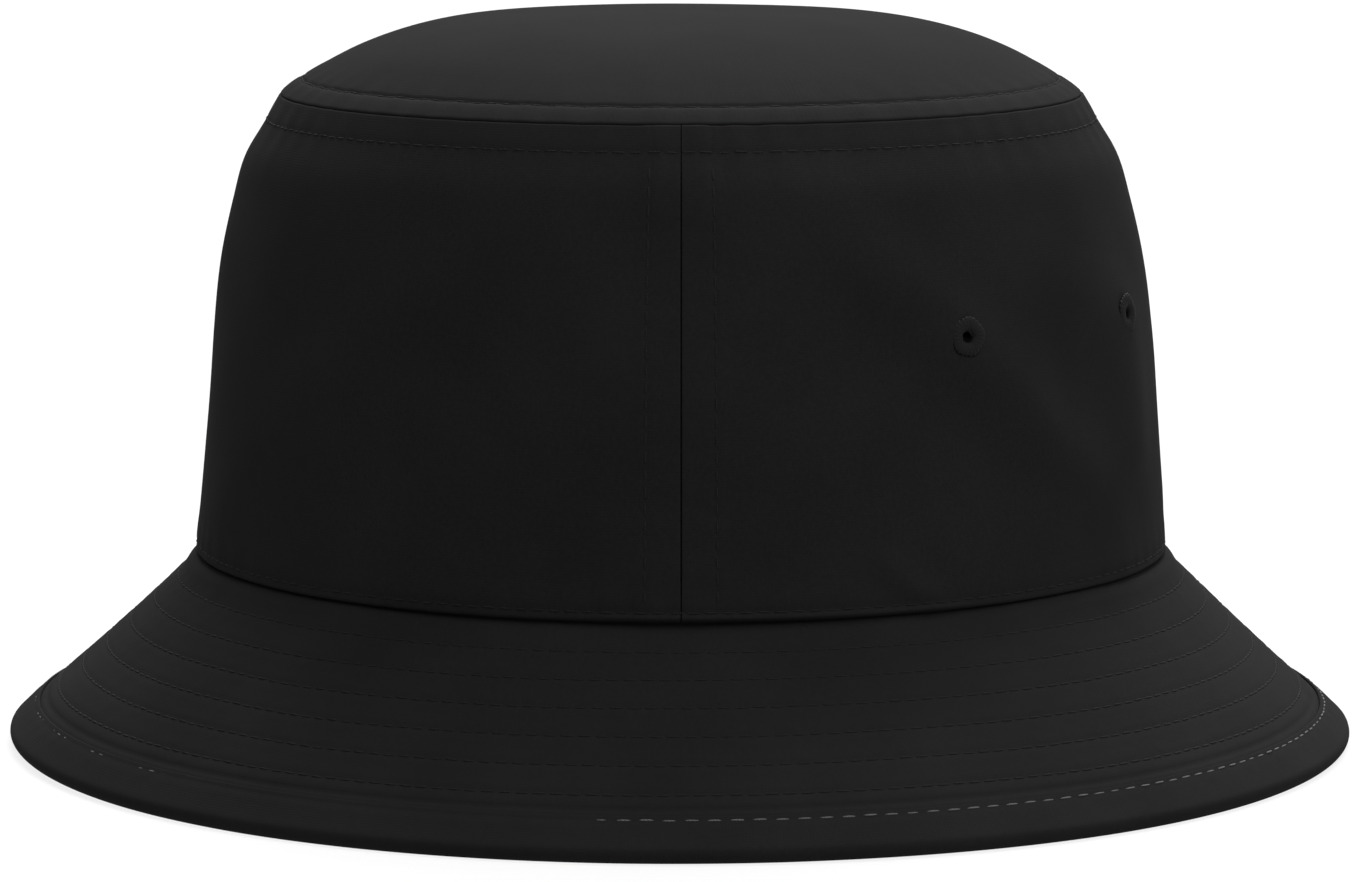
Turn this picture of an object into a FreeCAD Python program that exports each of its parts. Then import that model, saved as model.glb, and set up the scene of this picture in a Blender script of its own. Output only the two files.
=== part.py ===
"""A bucket hat of the unlined, taped-seam kind, as the cut pieces that a hat maker sews together.

Frame: +Z up, origin under the middle of the hat on the surface it stands on. The front is at -Y, the
wearer's left is at +X. Millimetres.

Every oval of the hat has the same length-to-width ratio, so each piece is drawn as a section in the
(radius, height) half-plane, turned about Z, and then stretched along Y. A turn is measured from the front
(0 degrees) by the +X side (90) to the back (180).

The skin is the hat's outer surface. A depth is measured from the skin into the hat, so a layer of cloth is
the strip between two depths.
"""

import FreeCAD
import Part
import math
import os

# Ovals and heights
OVAL_RATIO = 1.12  # front-to-back length over width
TIP_SEAM_R = 73.0  # half width of the tip seam
TIP_SEAM_Z = 117.8
TIP_RISE = 14.8  # the tip's middle above its seam
TIP_FLATNESS = 3.7  # power of the tip's dome: higher is flatter in the middle
CROWN_BASE_Z = 34.7
# The crown's side from its tip seam to its base: (height, half width)
CROWN_SIDE = [
    (TIP_SEAM_Z, TIP_SEAM_R), (113.0, 75.5), (107.0, 78.8), (99.0, 81.1), (89.0, 83.4),
    (76.0, 85.1), (61.0, 86.6), (46.0, 87.9), (CROWN_BASE_Z, 88.9),
]
BRIM_ROOT = (88.0, 34.2)  # where the brim's skin leaves the crown
BRIM_SLOPE = math.radians(43.4)  # below the horizontal

# Cloth and what is between it
CLOTH = 0.7
INTERLINING = 0.25
TAPE = 0.4
STIFFENER = 0.8
BINDING = 0.6
THREAD = 0.5  # thickness of a row of stitches
LABEL = 0.3

# Seams
ALLOWANCE = 7.0
JOIN_GAP = 0.3  # between the two edges of cloth that meet at a seam
TOPSTITCH = 6.0  # from the front and back seams to the rows of stitches beside them
TIP_ROW = 3.9  # from the tip seam to the row on the tip
SIDE_ROW = 4.6  # from the tip seam down to the row on the side
EDGE_STITCH = 1.6  # the same for a row close to a seam

# Brim
BRIM_END = 46.3  # slant length of the brim's stack of layers
BINDING_WIDTH = 6.5
BRIM_ROWS = 6
BRIM_ROW_STEP = 5.9
FLOOR_BITE = 0.08  # how far the binding's round edge is flattened where the hat stands

# Sweatband and labels
SWEATBAND_TOP_Z = 66.0
SWEATBAND_BOTTOM_Z = 34.9
SWEATBAND_CLOTH = 0.5
SWEATBAND_CORE = 0.6
SWEATBAND_ROW = 2.0  # from its lower edge to its row of stitches
CARE_LABEL = (24.0, 26.0)  # width, height
SIZE_LABEL = (14.0, 12.0)
SIZE_LABEL_TURN = 158.0

# Eyelets
EYELET_TURNS = {  # the two sides are one pattern, so the second pair is half a turn from the first
    "eyelet_left_front": 34.7, "eyelet_left_rear": 65.6,
    "eyelet_right_rear": 214.7, "eyelet_right_front": 245.6,
}
EYELET_Z = 81.0
EYELET_BORE = 1.2
EYELET_BARREL = 2.1
EYELET_FLANGE = 3.5
EYELET_RIM = 0.6  # thickness of the embroidered rim on the cloth

FRONT, BACK, FULL = 0.0, 180.0, 360.0
Z_AXIS = FreeCAD.Vector(0, 0, 1)
ORIGIN = FreeCAD.Vector(0, 0, 0)

ALLOWANCE_DEPTH = 2 * CLOTH  # a seam allowance is turned back against its own cloth
TAB_DEPTH = ALLOWANCE_DEPTH + CLOTH  # the brim's own allowance stands inside that
SWEATBAND_DEPTH = TAB_DEPTH + 2 * SWEATBAND_CLOTH + SWEATBAND_CORE
BRIM_STACK = CLOTH + STIFFENER + CLOTH


# ---- outlines in the (radius, height) half-plane


def point(p):
    return FreeCAD.Vector(p[0], 0, p[1])


def curve(points):
    """A smooth edge through the points, or a straight one between two."""
    if len(points) == 2:
        return Part.makeLine(point(points[0]), point(points[1]))
    spline = Part.BSplineCurve()
    spline.interpolate([point(p) for p in points])
    return spline.toShape()


def inward(a, b):
    """The unit direction into the hat from the skin between a and b, which run outward and down."""
    dr, dz = b[0] - a[0], b[1] - a[1]
    long = math.hypot(dr, dz)
    return dz / long, -dr / long


def meet(m, n):
    """The direction along which two skins with these inward directions meet, as long as its depth needs."""
    share = 1 + m[0] * n[0] + m[1] * n[1]
    return (m[0] + n[0]) / share, (m[1] + n[1]) / share


def tip_point(r):
    return r, TIP_SEAM_Z + TIP_RISE * (1 - (r / TIP_SEAM_R) ** TIP_FLATNESS)


def crown_spline():
    spline = Part.BSplineCurve()
    spline.interpolate([FreeCAD.Vector(r, 0, z) for z, r in CROWN_SIDE])
    return spline


CROWN = crown_spline()
CREASE = meet(inward(tip_point(TIP_SEAM_R - 0.2), tip_point(TIP_SEAM_R)),
              inward((TIP_SEAM_R, TIP_SEAM_Z), (TIP_SEAM_R + 0.10, TIP_SEAM_Z - 0.19)))


def crown_at(z):
    """(half width, inward direction) of the crown's side at a height."""
    low, high = CROWN.FirstParameter, CROWN.LastParameter
    for _ in range(40):
        u = (low + high) / 2
        if CROWN.value(u).z > z:
            low = u
        else:
            high = u
    t = CROWN.tangent(u)[0]
    return CROWN.value(u).x, (t.z, -t.x)


def side_skin(top, bottom, depth, count=9):
    """Points along the crown's side between two heights, at a depth. At the tip seam they lie on its crease."""
    found = []
    for i in range(count):
        z = top + (bottom - top) * i / (count - 1)
        r, n = crown_at(z)
        if z >= TIP_SEAM_Z:
            n = CREASE
        found.append((r + n[0] * depth, z + n[1] * depth))
    return found


def tip_skin(inner, outer, depth, count=9):
    """Points along the tip between two radii, at a depth. At the tip seam they lie on its crease."""
    found = []
    for i in range(count):
        r = inner + (outer - inner) * i / (count - 1)
        n = inward(tip_point(max(r - 0.1, 0)), tip_point(r + 0.1))
        if r <= 0:
            n = (0, -1)
        if r >= TIP_SEAM_R:
            n = CREASE
        at = tip_point(r)
        found.append((at[0] + n[0] * depth, at[1] + n[1] * depth))
    return found


def brim_point(s, depth):
    """The point a slant length s from the brim's root, at a depth."""
    c, d = math.cos(BRIM_SLOPE), math.sin(BRIM_SLOPE)
    return BRIM_ROOT[0] + s * c - depth * d, BRIM_ROOT[1] - s * d - depth * c


def section(*runs):
    """The face inside a closed outline. Each run is a list of points, and straight edges join run to run."""
    edges = []
    for run, following in zip(runs, runs[1:] + runs[:1]):
        if len(run) > 1:
            edges.append(curve(run))
        edges.append(curve([run[-1], following[0]]))
    return Part.Face(Part.Wire(Part.__sortEdges__(edges)))


def strip(near, far):
    """The face between a run of points and the run that lies deeper."""
    return section(near, far[::-1])


# ---- solids


def stretched(shape):
    matrix = FreeCAD.Matrix()
    matrix.scale(1, OVAL_RATIO, 1)
    return shape.transformGeometry(matrix)


def turned(face, start, end):
    """The solid that a section sweeps from one turn to another."""
    placed = face.copy()
    placed.rotate(ORIGIN, Z_AXIS, start - 90)
    return stretched(Part.Solid(placed.revolve(ORIGIN, Z_AXIS, end - start)))


def degrees_of(length, radius):
    return math.degrees(length / radius)


def ring(face):
    """A whole ring, with its two ends a join's gap apart at the back."""
    gap = degrees_of(JOIN_GAP / 2, face.BoundBox.XMax)
    return turned(face, BACK + gap, BACK + FULL - gap)


def thread(middle):
    """The six-sided section of a row of stitches whose middle is at this point."""
    corners = []
    for n in range(7):
        a = math.radians(60 * n + 30)
        corners.append(point((middle[0] + THREAD / 2 * math.cos(a), middle[1] + THREAD / 2 * math.sin(a))))
    return Part.Face(Part.makePolygon(corners))


def surface_frame(turn, z):
    """(the skin's point, its outward direction) on the crown's side."""
    r, n = crown_at(z)
    a = math.radians(turn)
    at = FreeCAD.Vector(r * math.sin(a), -OVAL_RATIO * r * math.cos(a), z)
    slope = n[1] / n[0]
    out = FreeCAD.Vector(OVAL_RATIO * math.sin(a), -math.cos(a), OVAL_RATIO * slope)
    return at, out.normalize()


# ---- the crown


def crown_tip():
    """The oval top, with its seam allowance turned back under its rim."""
    step = TIP_SEAM_R - ALLOWANCE
    outer = tip_skin(0, TIP_SEAM_R, 0, 13)
    under_rim = tip_skin(step, TIP_SEAM_R, ALLOWANCE_DEPTH, 5)
    under = tip_skin(0, step, CLOTH, 9)
    face = section(outer, under_rim[::-1], under[::-1])
    return Part.Solid(turned(face, 0, FULL))


def tip_interlining():
    reach = TIP_SEAM_R - ALLOWANCE - 0.5
    face = strip(tip_skin(0, reach, CLOTH), tip_skin(0, reach, CLOTH + INTERLINING))
    return turned(face, 0, FULL)


def eyelet_cutter(turn, radius):
    at, out = surface_frame(turn, EYELET_Z)
    return Part.makeCylinder(radius, 12, at - out * 6, out)


def side_panel(start, eyelet_turns):
    """Half of the crown's side, with its allowances turned back at all four edges."""
    end = start + 180
    gap = degrees_of(JOIN_GAP / 2, 86)
    allowance = degrees_of(ALLOWANCE, 86)
    top_step, bottom_step = TIP_SEAM_Z - ALLOWANCE, CROWN_BASE_Z + ALLOWANCE
    skin = side_skin(TIP_SEAM_Z, CROWN_BASE_Z, 0, 13)
    body = section(
        skin,
        side_skin(bottom_step, CROWN_BASE_Z, ALLOWANCE_DEPTH, 4)[::-1],
        side_skin(top_step, bottom_step, CLOTH, 9)[::-1],
        side_skin(TIP_SEAM_Z, top_step, ALLOWANCE_DEPTH, 4)[::-1],
    )
    edge = strip(skin, side_skin(TIP_SEAM_Z, CROWN_BASE_Z, ALLOWANCE_DEPTH, 13))
    panel = turned(edge, start + gap, start + allowance)
    panel = panel.fuse(turned(body, start + allowance, end - allowance))
    panel = panel.fuse(turned(edge, end - allowance, end - gap))
    for turn in eyelet_turns:
        panel = panel.cut(eyelet_cutter(turn, EYELET_BARREL))
    return panel


def side_interlining(start, eyelet_turns):
    margin = degrees_of(ALLOWANCE + 0.5, 86)
    top, bottom = TIP_SEAM_Z - ALLOWANCE - 0.5, CROWN_BASE_Z + ALLOWANCE + 0.5
    face = strip(side_skin(top, bottom, CLOTH), side_skin(top, bottom, CLOTH + INTERLINING))
    piece = turned(face, start + margin, start + 180 - margin)
    for turn in eyelet_turns:
        piece = piece.cut(eyelet_cutter(turn, EYELET_FLANGE + 0.4))
    return piece


def tip_seam_tape():
    """The tape that covers the tip seam's allowances, bent along the crease."""
    reach = ALLOWANCE - 0.4
    near = tip_skin(TIP_SEAM_R - reach, TIP_SEAM_R, ALLOWANCE_DEPTH, 4)
    far = tip_skin(TIP_SEAM_R - reach, TIP_SEAM_R, ALLOWANCE_DEPTH + TAPE, 4)
    near_side = side_skin(TIP_SEAM_Z, TIP_SEAM_Z - reach, ALLOWANCE_DEPTH, 4)
    far_side = side_skin(TIP_SEAM_Z, TIP_SEAM_Z - reach, ALLOWANCE_DEPTH + TAPE, 4)
    edges = [curve(near), curve(near_side), curve([near_side[-1], far_side[-1]])]
    edges += [curve(far_side[::-1]), curve(far[::-1]), curve([far[0], near[0]])]
    return ring(Part.Face(Part.Wire(Part.__sortEdges__(edges))))


def seam_tape(turn):
    """The tape over the front or back seam's allowances."""
    half = degrees_of(ALLOWANCE - 0.4, 86)
    top, bottom = TIP_SEAM_Z - ALLOWANCE - 0.2, CROWN_BASE_Z + ALLOWANCE + 0.4
    near = side_skin(top, bottom, ALLOWANCE_DEPTH)
    return turned(strip(near, side_skin(top, bottom, ALLOWANCE_DEPTH + TAPE)), turn - half, turn + half)


def eyelet(turn):
    """An embroidered vent: a rim on each face of the cloth and a barrel through it."""
    play = 0.05  # the cloth curves a little under the rim
    profile = [
        (EYELET_BORE, -CLOTH - EYELET_RIM - play), (EYELET_FLANGE - 0.4, -CLOTH - EYELET_RIM - play),
        (EYELET_FLANGE, -CLOTH - EYELET_RIM / 2 - play), (EYELET_FLANGE, -CLOTH - play),
        (EYELET_BARREL, -CLOTH - play), (EYELET_BARREL, play),
        (EYELET_FLANGE, play), (EYELET_FLANGE, EYELET_RIM / 2 + play),
        (EYELET_FLANGE - 0.4, EYELET_RIM + play), (EYELET_BORE, EYELET_RIM + play),
    ]
    face = Part.Face(Part.makePolygon([point(p) for p in profile + profile[:1]]))
    rim = Part.Solid(face.revolve(ORIGIN, Z_AXIS, FULL))
    at, out = surface_frame(turn, EYELET_Z)
    rim.Placement = FreeCAD.Placement(at, FreeCAD.Rotation(Z_AXIS, out))
    return rim


# ---- the brim


def brim_layer(near, far, start=0.0):
    run = [[brim_point(start, d), brim_point(BRIM_END, d)] for d in (near, far)]
    return ring(strip(run[0], run[1]))


def brim_top():
    """The upper cloth, with the allowance that stands up inside the crown."""
    tab_top = CROWN_BASE_Z + ALLOWANCE
    outer = side_skin(tab_top, CROWN_BASE_Z, ALLOWANCE_DEPTH, 4)
    inner = side_skin(tab_top, CROWN_BASE_Z - 0.6, TAB_DEPTH, 4)
    face = section(outer, [brim_point(0, 0), brim_point(BRIM_END, 0)],
                   [brim_point(BRIM_END, CLOTH), brim_point(0.2, CLOTH)], inner[::-1])
    return ring(face)


def brim_edge_binding():
    """The bias tape folded round the brim's edge, a little flat where the hat stands on it."""
    start = BRIM_END - BINDING_WIDTH
    top, under = -BINDING, BRIM_STACK + BINDING
    radius = (under - top) / 2
    centre = (BRIM_ROOT[1] - radius + FLOOR_BITE - BRIM_STACK / 2 * math.cos(BRIM_SLOPE))
    s = centre / math.sin(BRIM_SLOPE)
    fold = Part.Arc(point(brim_point(s, top)), point(brim_point(s + radius, BRIM_STACK / 2)),
                    point(brim_point(s, under))).toShape()
    straight = [
        [brim_point(start, top), brim_point(s, top)], [brim_point(s, under), brim_point(start, under)],
        [brim_point(start, under), brim_point(start, BRIM_STACK)],
        [brim_point(start, BRIM_STACK), brim_point(BRIM_END, BRIM_STACK)],
        [brim_point(BRIM_END, BRIM_STACK), brim_point(BRIM_END, 0)],
        [brim_point(BRIM_END, 0), brim_point(start, 0)], [brim_point(start, 0), brim_point(start, top)],
    ]
    edges = [fold] + [curve(pair) for pair in straight]
    folded = ring(Part.Face(Part.Wire(Part.__sortEdges__(edges))))
    floor = Part.makeBox(400, 400, 10, FreeCAD.Vector(-200, -200, -10))
    return folded.cut(floor)


# ---- the sweatband and labels


def sweatband():
    """A strip of cloth folded over at its top edge, round a soft core."""
    outer, inner = TAB_DEPTH, SWEATBAND_DEPTH
    hollow_top = SWEATBAND_TOP_Z - SWEATBAND_CLOTH
    face = section(
        side_skin(SWEATBAND_TOP_Z, SWEATBAND_BOTTOM_Z, outer),
        side_skin(hollow_top, SWEATBAND_BOTTOM_Z, outer + SWEATBAND_CLOTH)[::-1],
        side_skin(hollow_top, SWEATBAND_BOTTOM_Z, inner - SWEATBAND_CLOTH),
        side_skin(SWEATBAND_TOP_Z, SWEATBAND_BOTTOM_Z, inner)[::-1],
    )
    return ring(face)


def sweatband_core():
    top = SWEATBAND_TOP_Z - SWEATBAND_CLOTH
    near, far = TAB_DEPTH + SWEATBAND_CLOTH, SWEATBAND_DEPTH - SWEATBAND_CLOTH
    bottom = SWEATBAND_BOTTOM_Z
    return ring(strip(side_skin(top, bottom, near), side_skin(top, bottom, far)))


def label(size, turn):
    """A blank woven label, flat against the sweatband above its row of stitches."""
    half = degrees_of(size[0] / 2, 84)
    bottom = SWEATBAND_BOTTOM_Z + SWEATBAND_ROW + THREAD
    near = side_skin(bottom + size[1], bottom, SWEATBAND_DEPTH, 5)
    far = side_skin(bottom + size[1], bottom, SWEATBAND_DEPTH + LABEL, 5)
    return turned(strip(near, far), turn - half, turn + half)


# ---- rows of stitches


def on_tip(r):
    return tip_skin(r, r + 1, -THREAD / 2, 2)[0]


def on_side(z, depth=-THREAD / 2):
    return side_skin(z, z - 1, depth, 2)[0]


def seam_rows(turn):
    """The two rows beside the front or back seam."""
    top, bottom = TIP_SEAM_Z - TOPSTITCH - 1.0, CROWN_BASE_Z + EDGE_STITCH + 1.0
    face = strip(side_skin(top, bottom, -THREAD), side_skin(top, bottom, 0))
    half, away = degrees_of(THREAD / 2, 86), degrees_of(TOPSTITCH, 86)
    return [turned(face, turn + side - half, turn + side + half) for side in (-away, away)]


def brim_row(s, lift=0.0):
    """One row through the brim: its upper and its under thread."""
    above = thread(brim_point(s, -THREAD / 2 - lift))
    below = thread(brim_point(s, BRIM_STACK + THREAD / 2 + lift))
    return [ring(above), ring(below)]


# ---- the assembly


def build():
    first = [EYELET_TURNS["eyelet_left_front"], EYELET_TURNS["eyelet_left_rear"]]
    second = [EYELET_TURNS["eyelet_right_rear"], EYELET_TURNS["eyelet_right_front"]]
    made = {
        "crown_tip": crown_tip(),
        "tip_interlining": tip_interlining(),
        "side_panel_left": side_panel(FRONT, first),
        "side_panel_right": side_panel(BACK, second),
        "side_interlining_left": side_interlining(FRONT, first),
        "side_interlining_right": side_interlining(BACK, second),
        "tip_seam_tape": tip_seam_tape(),
        "front_seam_tape": seam_tape(FRONT),
        "back_seam_tape": seam_tape(BACK),
        "brim_top": brim_top(),
        "brim_stiffener": brim_layer(CLOTH, CLOTH + STIFFENER, 0.9),
        "brim_under": brim_layer(CLOTH + STIFFENER, BRIM_STACK, 0.9),
        "brim_edge_binding": brim_edge_binding(),
        "sweatband": sweatband(),
        "sweatband_core": sweatband_core(),
        "care_label": label(CARE_LABEL, BACK),
        "size_label": label(SIZE_LABEL, SIZE_LABEL_TURN),
        "tip_topstitch": ring(thread(on_tip(TIP_SEAM_R - TIP_ROW))),
        "side_topstitch": ring(thread(on_side(TIP_SEAM_Z - SIDE_ROW))),
        "crown_base_stitch": ring(thread(on_side(CROWN_BASE_Z + EDGE_STITCH))),
        "front_seam_stitch": seam_rows(FRONT),
        "back_seam_stitch": seam_rows(BACK),
        "binding_stitch": brim_row(BRIM_END - BINDING_WIDTH + 0.9, BINDING),
        "sweatband_stitch": ring(
            thread(on_side(SWEATBAND_BOTTOM_Z + SWEATBAND_ROW, SWEATBAND_DEPTH + THREAD / 2))),
    }
    for name, turn in EYELET_TURNS.items():
        made[name] = eyelet(turn)
    for n in range(BRIM_ROWS):
        made[f"brim_stitch_row_{n + 1}"] = brim_row((n + 1) * BRIM_ROW_STEP)
    return made


def main():
    os.makedirs("parts", exist_ok=True)
    for name, piece in build().items():
        solids = [s for one in (piece if isinstance(piece, list) else [piece]) for s in one.Solids]
        whole = Part.makeCompound(solids)
        for s in solids:
            assert s.isValid() and s.Volume > 0, name
        whole.exportStep(f"parts/{name}.step")
        print(f"{name}: {len(solids)} solids, {whole.Volume / 1000:.2f} cm3")


main()
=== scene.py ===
"""A bucket hat: an oval tip, two side panels, a brim with rows of stitching and a bound edge, a sweatband.

Every piece of cloth is a section, drawn across the cloth, that is wrapped round the hat and settled onto
the hat's skin. A place on the skin is a turn, in degrees from the front by the wearer's left, and one more
number: a height on the side, a half width on the tip, a slant length on the brim. A depth is into the hat.
Lengths are millimetres up to the point where a mesh is made.
"""

import math

import bmesh
import bpy
from mathutils import Matrix, Vector, noise


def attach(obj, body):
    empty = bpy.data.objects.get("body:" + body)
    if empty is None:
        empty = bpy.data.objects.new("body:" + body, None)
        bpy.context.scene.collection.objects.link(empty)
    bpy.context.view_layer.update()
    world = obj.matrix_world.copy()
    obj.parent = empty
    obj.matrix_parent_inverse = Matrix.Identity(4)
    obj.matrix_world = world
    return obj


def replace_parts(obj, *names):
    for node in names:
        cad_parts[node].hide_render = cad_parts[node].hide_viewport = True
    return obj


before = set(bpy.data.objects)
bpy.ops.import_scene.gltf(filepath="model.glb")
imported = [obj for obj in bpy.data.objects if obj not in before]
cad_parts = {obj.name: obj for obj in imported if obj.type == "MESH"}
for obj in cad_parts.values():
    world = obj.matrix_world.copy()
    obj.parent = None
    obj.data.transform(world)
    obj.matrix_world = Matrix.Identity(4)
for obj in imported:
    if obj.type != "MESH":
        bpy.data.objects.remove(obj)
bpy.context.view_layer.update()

MM = 0.001

# The hat's shape
OVAL_RATIO = 1.12  # front-to-back length over width
TIP_SEAM_R, TIP_SEAM_Z, TIP_RISE, TIP_FLATNESS = 73.0, 117.8, 14.8, 3.7
CROWN_BASE_Z = 34.7
CROWN_SIDE = [  # height, half width
    (CROWN_BASE_Z, 88.9), (46.0, 87.9), (61.0, 86.6), (76.0, 85.1), (89.0, 83.4),
    (99.0, 81.1), (107.0, 78.8), (113.0, 75.5), (TIP_SEAM_Z, TIP_SEAM_R),
]
BRIM_ROOT, BRIM_SLOPE = (88.0, 34.2), math.radians(43.4)
BRIM_END, BINDING_WIDTH = 46.3, 6.5
CREASE = (-0.78, -0.666)  # the direction into the hat at the tip seam
SIDE_R = 86.0  # the side's usual half width, for turning millimetres along it into degrees

# Cloth
CLOTH, INTERLINING, TAPE, STIFFENER, BINDING, LABEL = 0.7, 0.25, 0.4, 0.8, 0.6, 0.3
ALLOWANCE = 7.0
SNUG = 0.02  # between layers that are sewn to each other
LAYER_GAP = 0.08  # between hidden layers of cloth
TAPE_GAP = 0.03  # between a tape and the allowances under it
BINDING_GAP = 0.2  # between the binding and the cloth that it covers
HALF_SEAM = 0.08  # half of the gap at the front and back seams
BRIM_STACK = CLOTH + STIFFENER + CLOTH
ALLOWANCE_DEPTH = 2 * CLOTH
TAB_DEPTH = 3 * CLOTH
SWEATBAND_TOP_Z, SWEATBAND_BOTTOM_Z = 66.0, 34.9
SWEATBAND_CLOTH, SWEATBAND_CORE = 0.5, 0.6
SWEATBAND_DEPTH = TAB_DEPTH + 2 * SWEATBAND_CLOTH + SWEATBAND_CORE

# Stitching
TOPSTITCH, EDGE_STITCH = 6.0, 1.6
TIP_ROW, SIDE_ROW = 3.9, 4.6  # from the tip seam to the row on each side of it
BRIM_ROWS = [5.9 * n for n in range(1, 7)]
STAY_ROW = 38.3  # a row inside the brim that shows as a faint line above the binding
BINDING_ROW = BRIM_END - BINDING_WIDTH + 0.9
SWEATBAND_ROW_Z = SWEATBAND_BOTTOM_Z + 2.0
STITCH_PITCH, STITCH_LENGTH, BINDING_PITCH = 3.0, 2.4, 3.75
STITCH_WIDE, STITCH_HIGH = 0.42, 0.34

EYELETS = {"eyelet_left_front": 34.7, "eyelet_left_rear": 65.6,
           "eyelet_right_rear": 214.7, "eyelet_right_front": 245.6}
EYELET_Z = 81.0
VENT_CUT, LINING_CUT = 1.9, 3.8  # radii of the holes cut for an eyelet
CARE_LABEL, SIZE_LABEL = (24.0, 26.0), (14.0, 12.0)  # width, height


# ---- the skin, flat: (half width, height) and the direction into the hat


def smooth_line(points):
    """A smooth function through points with rising first numbers."""
    xs, ys = [p[0] for p in points], [p[1] for p in points]
    steps = [(ys[i + 1] - ys[i]) / (xs[i + 1] - xs[i]) for i in range(len(xs) - 1)]
    slopes = [steps[0]] + [(a + b) / 2 for a, b in zip(steps, steps[1:])] + [steps[-1]]

    def at(x):
        i = 0
        while i < len(steps) - 1 and x > xs[i + 1]:
            i += 1
        wide = xs[i + 1] - xs[i]
        t = (x - xs[i]) / wide
        return (ys[i] * (1 + 2 * t) * (1 - t) ** 2 + ys[i + 1] * t * t * (3 - 2 * t)
                + wide * (slopes[i] * t * (1 - t) ** 2 - slopes[i + 1] * t * t * (1 - t)))

    return at


crown_width = smooth_line(CROWN_SIDE)


def ramp(x, start, end):
    """0 before start, 1 after end, smooth between."""
    t = min(1, max(0, (x - start) / (end - start)))
    return t * t * (3 - 2 * t)


def bump(x, wide):
    """1 at 0, and almost nothing three widths away."""
    return math.exp(-((x / wide) ** 2)) if abs(x) < 3.2 * wide else 0.0


def unit(a, b):
    long = math.hypot(a, b)
    return a / long, b / long


def side_flat(z):
    low, high = crown_width(z - 0.2), crown_width(z + 0.2)
    n = unit(-0.4, high - low)
    crease = ramp(z, TIP_SEAM_Z - 2.5, TIP_SEAM_Z)
    return (crown_width(z), z), (n[0] * (1 - crease) + CREASE[0] * crease,
                                 n[1] * (1 - crease) + CREASE[1] * crease)


def tip_height(r):
    return TIP_SEAM_Z + TIP_RISE * (1 - (r / TIP_SEAM_R) ** TIP_FLATNESS)


def tip_flat(r):
    n = unit(tip_height(r + 0.1) - tip_height(abs(r - 0.1)), -0.2) if r > 0.1 else (0, -1)
    crease = ramp(r, TIP_SEAM_R - 2.5, TIP_SEAM_R)
    return (r, tip_height(r)), (n[0] * (1 - crease) + CREASE[0] * crease,
                                n[1] * (1 - crease) + CREASE[1] * crease)


def brim_flat(s):
    c, d = math.cos(BRIM_SLOPE), math.sin(BRIM_SLOPE)
    return (BRIM_ROOT[0] + s * c, BRIM_ROOT[1] - s * d), (-d, -c)


# ---- how the cloth lies: small rises and dips of the skin, outward


def drift(turn, a, size, seed):
    """Slow wandering, from -1 to 1, over places about size millimetres apart."""
    t = math.radians(turn)
    spot = Vector((math.sin(t) * 88 / size, math.cos(t) * 98 / size, a / size + seed * 7.3))
    return noise.noise(spot) * 1.6


def fold(turn, z, start, end, rise, wide):
    """A soft ridge between two places on the side, with a dip on its lower left."""
    across = 1.62  # millimetres to a degree
    ax, az, bx, bz = start[0] * across, start[1], end[0] * across, end[1]
    long = math.hypot(bx - ax, bz - az)
    ux, uz = (bx - ax) / long, (bz - az) / long
    dx, dz = turn * across - ax, z - az
    along, off = dx * ux + dz * uz, dx * -uz + dz * ux
    ends = ramp(along, -0.3 * long, 0.2 * long) * (1 - ramp(along, 0.8 * long, 1.3 * long))
    return rise * ends * (bump(off, wide) - 0.35 * bump(off + 2.1 * wide, 1.6 * wide))


def signed(turn):
    return (turn + 180) % 360 - 180


def from_seam(turn):
    """Millimetres to the nearer of the front and back seams."""
    off = min(abs(signed(turn)), abs(signed(turn - 180)))
    return math.radians(off) * SIDE_R


def side_lie(turn, z):
    t = signed(turn)
    seam = from_seam(turn)
    lie = 0.4 * drift(turn, z, 45, 1) + 0.15 * drift(turn, z, 18, 2)
    lie *= ramp(TIP_SEAM_Z - z, 0, 14) * ramp(z - CROWN_BASE_Z, 0, 12)
    lie += fold(t, z, (20.6, 98), (57.3, 50.5), 2.0, 7.5)
    lie += fold(t, z, (22.6, 44), (29.5, 36.5), 0.5, 2.6)
    lie += (2.0 * bump(t - 65, 7.5) - 0.8 * bump(t - 51, 5)) * ramp(z, 44, 60) * (1 - ramp(z, 78, 94))
    lie += fold(-t, z, (28, 92), (66, 52), 0.4, 7.0)
    lie += 0.9 * bump(t - 92, 28) * bump(z - 86, 22)
    top, base = TIP_SEAM_Z - z, z - CROWN_BASE_Z
    gather = math.sin(math.radians(turn) * 61 + 2.2 * drift(turn, 0, 30, 3))
    lie += 0.13 * gather * bump(top - 4, 5.5) * (0.6 + 0.6 * drift(turn, 0, 25, 4))
    lie += 0.12 * bump(top - 3, 2.2) - 0.06 * bump(top - SIDE_ROW, 0.6)
    lie += 0.10 * bump(base - 3.6, 2.4) - 0.10 * bump(base - EDGE_STITCH, 0.6)
    lie += 0.35 * bump(base - 0.75, 0.4) * ramp(t, -14, -4) * (1 - ramp(t, 28, 38))
    lie += 0.07 * math.sin(math.radians(turn) * 83 + 3 * drift(turn, 0, 22, 5)) * bump(base - 3, 4)
    lie += 0.14 * (1 - ramp(seam, 6.2, 8.2)) - 0.10 * bump(seam - TOPSTITCH, 0.7)
    lie += 0.05 * math.sin(z * 1.05 + 2 * drift(turn, z, 20, 6)) * bump(seam - 4, 3.5)
    return lie


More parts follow.
